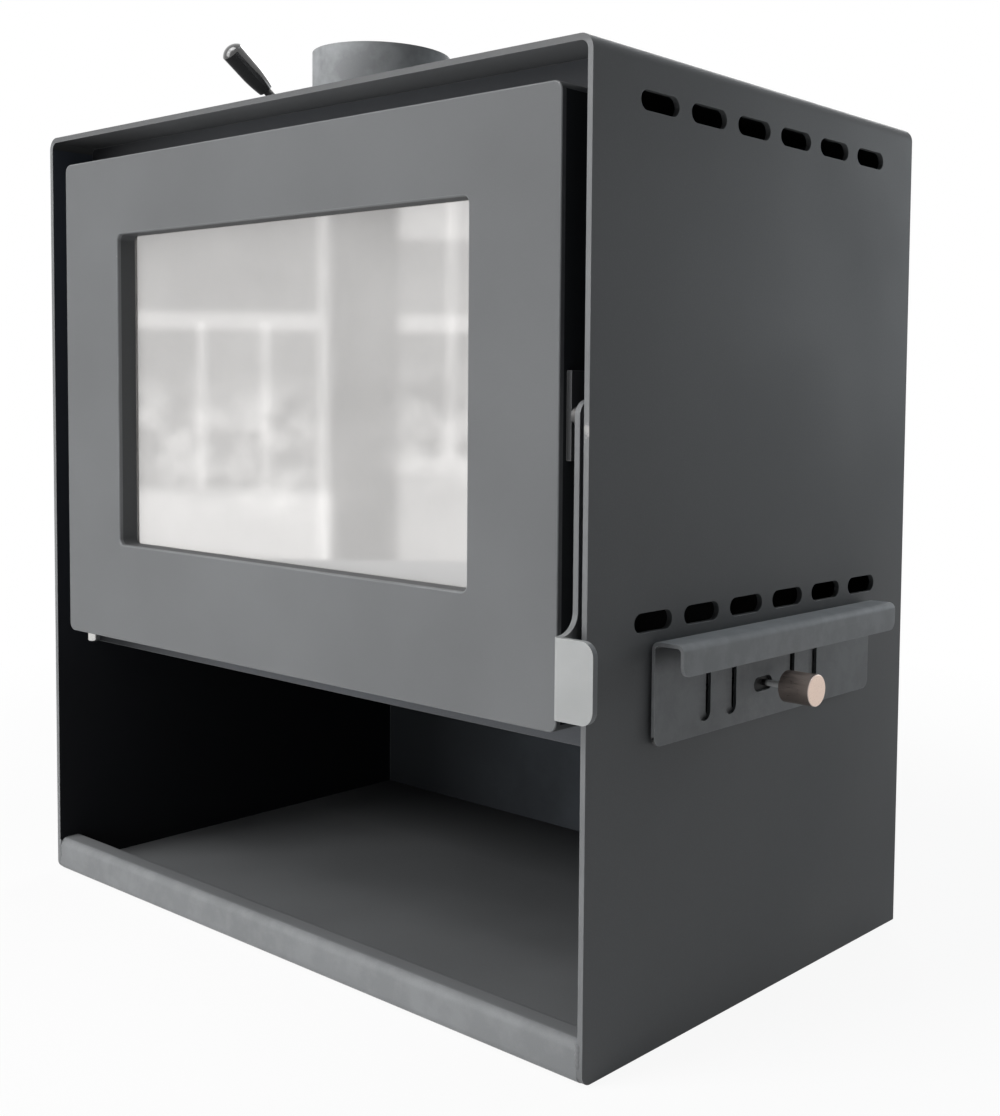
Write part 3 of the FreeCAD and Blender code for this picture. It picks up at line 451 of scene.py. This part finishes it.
def front_of_casing(face):
    """The cut front edge of the casing's sheet."""
    return face.normal.y < -square and middle_of(face).y < casing_low.y + flush


def inside_of_casing(face):
    """The inner faces of the casing's two sides."""
    return abs(face.normal.x) > square and abs(middle_of(face).x) < casing_high.x - casing_sheet / 2


def under_top(face):
    """The underside of the casing's top, with the inner side of its bends."""
    bend = 25 * mm
    return face.normal.z < -0.15 and middle_of(face).z > casing_high.z - bend


def front_of_back(face):
    """The back panel's face towards the store."""
    return face.normal.y < -square


def front_of_lip(face):
    """The front of the store's lip, with its bends."""
    return face.normal.y < -0.3


def rounded_front(face):
    """The bends round the door's front, which take the edges' painted highlight."""
    return -0.98 < face.normal.y < -0.15


def side_of_door(face):
    """The outside of the door's right wall."""
    return face.normal.x > square and middle_of(face).x > door_high.x - flush


def edge_of_tab(face):
    """The outer edge of the latch's finger tab."""
    corner = 12 * mm
    return face.normal.x > 0.5 and middle_of(face).x > latch_high.x - corner


def hood_of_plate(face):
    """The hood over the air slots, from its fold outwards."""
    fold = 10 * mm
    in_fold = face.normal.z > 0.2 and middle_of(face).z > plate_high.z - fold
    return in_fold or middle_of(face).x > plate_low.x + 1.5 * plate_sheet


def edge_of_plate(face):
    """The front edge of the air plate's sheet."""
    return face.normal.y < -0.3 and middle_of(face).x < plate_low.x + plate_sheet


def end_of_knob(face):
    """The flat end of the air knob."""
    return face.normal.x > square and middle_of(face).x > knob_high.x - flush


special_faces = {
    "back_panel": [(shaded_store_back, front_of_back)],
    "outer_casing": [(edge_wear_and_highlight, front_of_casing), (shaded_inside_paint, inside_of_casing),
                     (shaded_top_paint, under_top)],
    "base_tray": [(lit_lip_paint, front_of_lip)],
    "air_plate": [(lit_hood_paint, hood_of_plate), (shadow_edge, edge_of_plate)],
    "door_panel": [(edge_wear_and_highlight, rounded_front), (door_rim_shade, side_of_door)],
    "latch_handle": [(tab_edge_shade, edge_of_tab)],
    "air_knob": [(knob_end_reflection, end_of_knob)],
}
own_face = {
    "air_plate": plate_light_and_shadow,
    "air_slider": shutter_light_and_shade,
    "front_frame": shaded_frame_paint,
    "flue_collar": collar_coat_and_light,
    "base_tray": store_light_and_shade,
    "window_surround": shaded_reveal_paint,
    "air_rod": plated_steel,
    "latch_pivot_pad": shaded_pad_paint,
    # The latch's bolt, spacer and nut are blackened steel, partly as painted shade of the gap.
    "latch_bolt": dark_steel,
    "latch_spacer": dark_steel,
    "latch_nut": dark_steel,
    "damper_spindle": dark_steel,
}
own_edge = {
    "air_plate": plate_edge_wear_and_highlight,
    "latch_pivot_pad": shaded_pad_edge,
    "latch_bolt": dark_steel,
    "latch_spacer": dark_steel,
    "latch_nut": dark_steel,
}


# Pieces

def linked(name, data):
    """A new object in the scene."""
    made = bpy.data.objects.new(name, data)
    scene.collection.objects.link(made)
    return made


def finished_piece(name, data, materials, node):
    """Makes a mesh object that stands for a CAD node and rides where it rides."""
    for material in materials:
        data.materials.append(material)
    piece = linked(name, data)
    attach(piece, body_of[node])
    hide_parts(node)
    return piece


def softened(node):
    """A copy of a CAD node whose sharp edges are rounded and lightly worn.

    Its materials are that of the faces, that of the edges and those of the special faces."""
    flat, sharp = math.radians(0.3), math.radians(34)
    edge_index, first_special = 1, 2
    plain = finish[slot_of[node]]
    special = special_faces.get(node, ())
    source = nodes[node].data
    data = bpy.data.meshes.new(node + "_soft")
    data.from_pydata([v.co for v in source.vertices], [], [p.vertices[:] for p in source.polygons])
    shape = bmesh.new()
    shape.from_mesh(data)
    bmesh.ops.remove_doubles(shape, verts=shape.verts, dist=merge_distance)
    bmesh.ops.dissolve_limit(shape, angle_limit=flat, verts=shape.verts, edges=shape.edges)
    shape.normal_update()
    for face in shape.faces:
        face.smooth = True
        for index, (_, picks) in enumerate(special, start=first_special):
            if picks(face):
                face.material_index = index
    shape.to_mesh(data)
    shape.free()
    materials = [own_face.get(node, plain.face), own_edge.get(node, plain.edge)]
    materials += [material for material, _ in special]
    piece = finished_piece(node + "_piece", data, materials, node)
    bevel = piece.modifiers.new("round_edges", "BEVEL")
    bevel.width = plain.radius
    bevel.segments = plain.steps
    bevel.limit_method = "ANGLE"
    bevel.angle_limit = sharp
    bevel.harden_normals = True
    bevel.use_clamp_overlap = True
    bevel.material = edge_index
    return piece


def rounded_loop(half, low, high, corner, step):
    """Points (x, z) and their outward directions, anticlockwise round a rounded rectangle."""
    places = []
    turns = ((half - corner, high - corner, 0), (-half + corner, high - corner, 90),
             (-half + corner, low + corner, 180), (half - corner, low + corner, 270))
    for index, (x, z, start) in enumerate(turns):
        count = max(3, round(corner * math.pi / 2 / step))
        for part in range(count + 1):
            angle = math.radians(start + 90 * part / count)
            out_x, out_z = math.cos(angle), math.sin(angle)
            places.append((x + corner * out_x, z + corner * out_z, out_x, out_z))
        next_x, next_z, next_start = turns[(index + 1) % 4]
        ahead = math.radians(next_start)
        end_x, end_z = next_x + corner * math.cos(ahead), next_z + corner * math.sin(ahead)
        x0, z0, out_x, out_z = places[-1]
        count = max(1, round(math.hypot(end_x - x0, end_z - z0) / step))
        for part in range(1, count):
            share = part / count
            places.append((x0 + share * (end_x - x0), z0 + share * (end_z - z0), out_x, out_z))
    return places


def swept_ring(name, node, width, corner, step, section):
    """A closed ring in the place of a CAD ring of that width, in steps of about that length.

    The corner is the radius of its middle line. The section gives outward and Y offsets."""
    low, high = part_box(node)
    half = width / 2
    loop = rounded_loop(high.x - half, low.z + half, high.z - half, corner, step)
    length = sum(math.dist(a[:2], b[:2]) for a, b in zip(loop, loop[1:] + loop[:1]))
    points, faces = [], []
    travelled = 0.0
    previous = loop[-1]
    for place in loop:
        travelled += math.dist(previous[:2], place[:2])
        previous = place
        x, z, out_x, out_z = place
        for outward, back in section(half, (high.y - low.y) / 2, travelled, length):
            points.append((x + out_x * outward, (low.y + high.y) / 2 + back, z + out_z * outward))
    size = len(points) // len(loop)
    for i in range(len(loop)):
        here, there = i * size, (i + 1) % len(loop) * size
        for k in range(size):
            beside = (k + 1) % size
            faces.append((here + k, there + k, there + beside, here + beside))
    data = bpy.data.meshes.new(name)
    data.from_pydata(points, [], faces)
    data.shade_smooth()
    return finished_piece(name, data, [rope], node)


def braid_section(half_width, half_depth, travelled, length):
    """Section of a pressed round rope whose two sets of strands cross each other."""
    pitch, rise = 9 * mm, 1.1 * mm
    strands, sides = 6, 28
    turn = 2 * math.pi * travelled / (length / round(length / pitch))
    for k in range(sides):
        angle = 2 * math.pi * k / sides
        over = abs(math.cos((turn + strands * angle) / 2))
        under = abs(math.cos((turn - strands * angle) / 2))
        inset = rise * (1 - max(over, under))
        yield (half_width - inset) * math.cos(angle), (half_depth - inset) * math.sin(angle)


def tape_section(half_width, half_depth, travelled, length):
    """Section of a flat woven tape with rounded edges, the same all along."""
    for sign in (1, -1):
        for degrees in (-90, -45, 0, 45, 90):
            angle = math.radians(degrees)
            yield (sign * (half_width - half_depth + half_depth * math.cos(angle)),
                   sign * half_depth * math.sin(angle))


swept_ring("door_seal_rope", "door_seal", width=12 * mm, corner=12 * mm, step=1.6 * mm,
           section=braid_section)
swept_ring("glass_gasket_tape", "glass_gasket", width=10 * mm, corner=6 * mm, step=6 * mm,
           section=tape_section)

# The glass mirrors the studio, and not the steel round it.
unmirrored = ("door_panel", "window_surround")
for node in nodes:
    if slot_of[node] != "rope_seal":
        softened(node).visible_glossy = node not in unmirrored


def weld_beads(name, runs, width, rise):
    """Painted weld beads. Each run is its start, its end and the direction that it stands out in."""
    points, faces = [], []
    pitch, sunk, sides = 0.9 * mm, 0.1 * mm, 8
    row = sides + 1
    for start, end, outward in runs:
        beside = (end - start).normalized().cross(outward)
        count = round((end - start).length / pitch)
        first = len(points)
        for step in range(count + 1):
            share = step / count
            taper = (1 - abs(2 * share - 1) ** 12) ** 0.5
            ripple = 0.86 + 0.14 * math.cos(step * math.pi / 2)
            swell = taper * ripple
            for k in range(row):
                angle = math.pi * k / sides
                points.append(start.lerp(end, share) + beside * (width / 2 * swell * math.cos(angle))
                              + outward * (rise * swell * math.sin(angle) - sunk))
        for step in range(count):
            here, there = first + step * row, first + (step + 1) * row
            for k in range(row):
                after = (k + 1) % row
                faces.append((here + k, here + after, there + after, there + k))
    data = bpy.data.meshes.new(name)
    data.from_pydata(points, [], faces)
    shape = bmesh.new()
    shape.from_mesh(data)
    bmesh.ops.remove_doubles(shape, verts=shape.verts, dist=merge_distance)
    bmesh.ops.recalc_face_normals(shape, faces=shape.faces)
    shape.to_mesh(data)
    shape.free()
    data.shade_smooth()
    data.materials.append(edge_wear_and_highlight)
    piece = linked(name, data)
    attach(piece, body_of["outer_casing"])


def weld_runs():
    """A short bead at each end of the lip, and rows of beads round the back panel."""
    to_front, to_back = Vector((0, -1, 0)), Vector((0, 1, 0))
    bead, lip_bead = 32 * mm, 20 * mm
    lip_foot, lip_y = 12 * mm, tray_low.y + 0.2 * mm
    back_y, seam_z = casing_high.y, casing_high.z - casing_sheet
    side_first, side_pitch, side_count = 60 * mm, 126 * mm, 6
    top_first, top_pitch, top_count = -300 * mm, 142 * mm, 5
    for x in (-tray_high.x, tray_high.x):
        yield Vector((x, lip_y, lip_foot)), Vector((x, lip_y, lip_foot + lip_bead)), to_front
        for index in range(side_count):
            z = side_first + index * side_pitch
            yield Vector((x, back_y, z)), Vector((x, back_y, z + bead)), to_back
    for index in range(top_count):
        x = top_first + index * top_pitch
        yield Vector((x, back_y, seam_z)), Vector((x + bead, back_y, seam_z)), to_back


weld_beads("weld_beads", weld_runs(), width=5 * mm, rise=1.1 * mm)


# Stage: floor, light, camera

def stage_card(name, corners, build):
    """A flat card whose shader the build function makes in an empty material."""
    data = bpy.data.meshes.new(name)
    data.from_pydata(corners, [], [(0, 1, 2, 3)])
    material = bpy.data.materials.new(name)
    material.use_nodes = True
    tree = material.node_tree
    tree.nodes.clear()
    surface = build(tree)
    feed(tree, tree.nodes.new("ShaderNodeOutputMaterial"), Surface=surface)
    data.materials.append(material)
    card = linked(name, data)
    return card


def floor_look(tree):
    """Pale to the lamps, so that it takes a shadow, and near to white of its own to the eye."""
    near, far = 0.6, 1.5
    look = seen(tree)
    away = calc(tree, "LENGTH", shade(tree, "TexCoord", "Object"), kind="VectorMath")
    own_light = calc(tree, "MULTIPLY", look, ramp(tree, away, near, far, 0.92, 1.0))
    pale = shade(tree, "BsdfDiffuse", "BSDF", Color=blend(tree, look, grey(0.6), grey(0.9)))
    white = shade(tree, "Emission", "Emission", Color=grey(1.0), Strength=1.0)
    mixed = tree.nodes.new("ShaderNodeMixShader")
    for socket, value in zip(mixed.inputs, (own_light, pale, white)):
        wire(tree, socket, value)
    return mixed.outputs[0]


def floor():
    """A pale floor, a hair under the object."""
    reach, level = 30.0, -0.3 * mm
    stage_card("floor", [(-reach, -reach, level), (reach, -reach, level),
                         (reach, reach, level), (-reach, reach, level)], floor_look)


def studio_sky(ambient):
    """White background to the eye and in reflections, and a low even light on everything else."""
    world = bpy.data.worlds.new("studio")
    scene.world = world
    world.use_nodes = True
    tree = world.node_tree
    feed(tree, tree.nodes["Background"], Color=grey(1.0),
         Strength=ramp(tree, seen(tree), 0.0, 1.0, ambient, 1.0))


def lamp(name, place, target, size, watts, spread=180, colour=(1.0, 1.0, 1.0), mirrored=True):
    """A large soft square lamp that faces the target; the spread in degrees narrows its beam."""
    light = bpy.data.lights.new(name, "AREA")
    light.energy = watts
    light.color = colour
    light.size = size
    light.spread = math.radians(spread)
    lamp_object = linked(name, light)
    lamp_object.visible_camera = False
    lamp_object.visible_glossy = mirrored
    lamp_object.location = place
    lamp_object.rotation_mode = "QUATERNION"
    lamp_object.rotation_quaternion = (Vector(target) - Vector(place)).to_track_quat("-Z", "Y")


card_half, card_low, card_high = 1.0, -0.5, 1.3


def card_look(tree):
    """An uneven glow with brighter bars and areas, on each side of a darker band."""
    where = shade(tree, "TexCoord", "Object")
    across, upward = along(tree, where, "X"), along(tree, where, "Z")

    def between(place, start, end, soft):
        """1 between two places, with soft ends."""
        return calc(tree, "MULTIPLY", ramp(tree, place, start - soft, start + soft),
                    ramp(tree, place, end - soft, end + soft, 1.0, 0.0))

    def panel(left, right, foot, head, strength, soft=0.012):
        """A soft-edged rectangle of more or less light."""
        wide = between(across, left, right, soft)
        tall = between(upward, foot, head, soft)
        return calc(tree, "MULTIPLY", calc(tree, "MULTIPLY", wide, tall), strength)

    light = ramp(tree, noise(tree, where, 0.3, 3), 0.35, 0.65, 0.80, 0.98)
    patches = ramp(tree, noise(tree, where, 0.11, 2), 0.4, 0.62, 0.0, 0.5)
    post_left, post_right = 0.02, 0.05
    band_left, band_right = 0.06, 0.26
    rail_foot, rail_head = 0.68, 0.73
    panels = (
        panel(-card_half, band_left, card_low, 0.2, 0.65, 0.02),
        panel(band_right, card_half, card_low, 0.3, 0.35, 0.02),
        panel(post_left, post_right, card_low, card_high, 0.5),
        panel(band_left, band_right, card_low, card_high, -0.16),
        panel(-card_half, post_left, rail_foot, rail_head, 0.5),
        panel(band_right, card_half, rail_foot, rail_head, 0.5),
        panel(-0.34, -0.31, 0.2, 0.7, 0.45),
        panel(-0.15, -0.12, 0.2, 0.7, 0.45),
        panel(0.4, 0.43, 0.3, card_high, 0.45),
        panel(band_right, card_half, 0.95, card_high, 0.45),
        panel(-card_half, post_left, 0.16, 0.5, patches, 0.06),
        panel(band_right, card_half, 0.25, 0.55, patches, 0.06),
    )
    for shape in panels:
        light = calc(tree, "ADD", light, shape)
    return shade(tree, "Emission", "Emission", Color=grey(1.0, 0.015), Strength=light)


def reflector():
    """A card with soft panels of light to the front left, which shows only in glass and gloss."""
    card = stage_card("reflector", [(-card_half, 0, card_low), (card_half, 0, card_low),
                                    (card_half, 0, card_high), (-card_half, 0, card_high)], card_look)
    card.location = (-2.432, -2.11, 0.0)
    card.rotation_euler = (0.0, 0.0, math.radians(-39))
    card.visible_camera = False
    card.visible_diffuse = False
    card.visible_shadow = False


def photo_camera():
    """Stands where the photograph was taken from, with its focal length and middle in pixels."""
    width, height = 1000, 1116
    focal, middle_x, middle_y = 1437.996, 639.145, 483.496
    place = (1.03149, -0.98135, 0.49868)
    tilt, roll, heading = math.radians(86.52638), math.radians(-0.76455), math.radians(39.41584)
    data = bpy.data.cameras.new("photo_camera")
    data.sensor_width = 36.0
    data.lens = focal * data.sensor_width / height
    data.shift_x = (width / 2 - middle_x) / height
    data.shift_y = (middle_y - height / 2) / height
    camera = linked("photo_camera", data)
    camera.matrix_world = Matrix.Translation(place) @ Euler((tilt, roll, heading)).to_matrix().to_4x4()
    scene.camera = camera


middle = (0.0, 0.0, 0.4)
cool = (0.88, 0.95, 1.0)
floor()
studio_sky(ambient=0.005)
lamp("key_low", (-2.2, -4.4, 2.2), middle, size=2.6, watts=88)
lamp("key_high", (-1.6, -3.6, 4.2), middle, size=2.6, watts=82)
lamp("front", (0.0, -2.3, 0.25), (0.0, -0.2, 0.2), size=0.7, watts=5, mirrored=False)
lamp("near", (0.05, -1.1, 0.12), (0.05, -0.2, 0.25), size=0.5, watts=3, mirrored=False)
lamp("top", (-0.3, -1.2, 2.4), (-0.3, -0.6, 0.0), size=0.9, watts=4.3, spread=90)
lamp("rear", (0.85, 1.7, 0.8), (0.36, 0.3, 0.45), size=0.8, watts=6, colour=cool)
lamp("above", (0.5, 0.0, 2.4), (0.42, 0.0, 0.3), size=0.5, watts=0.7, spread=60, colour=cool)
lamp("back", (-1.4, 3.0, 2.2), middle, size=1.8, watts=45)
reflector()
photo_camera()
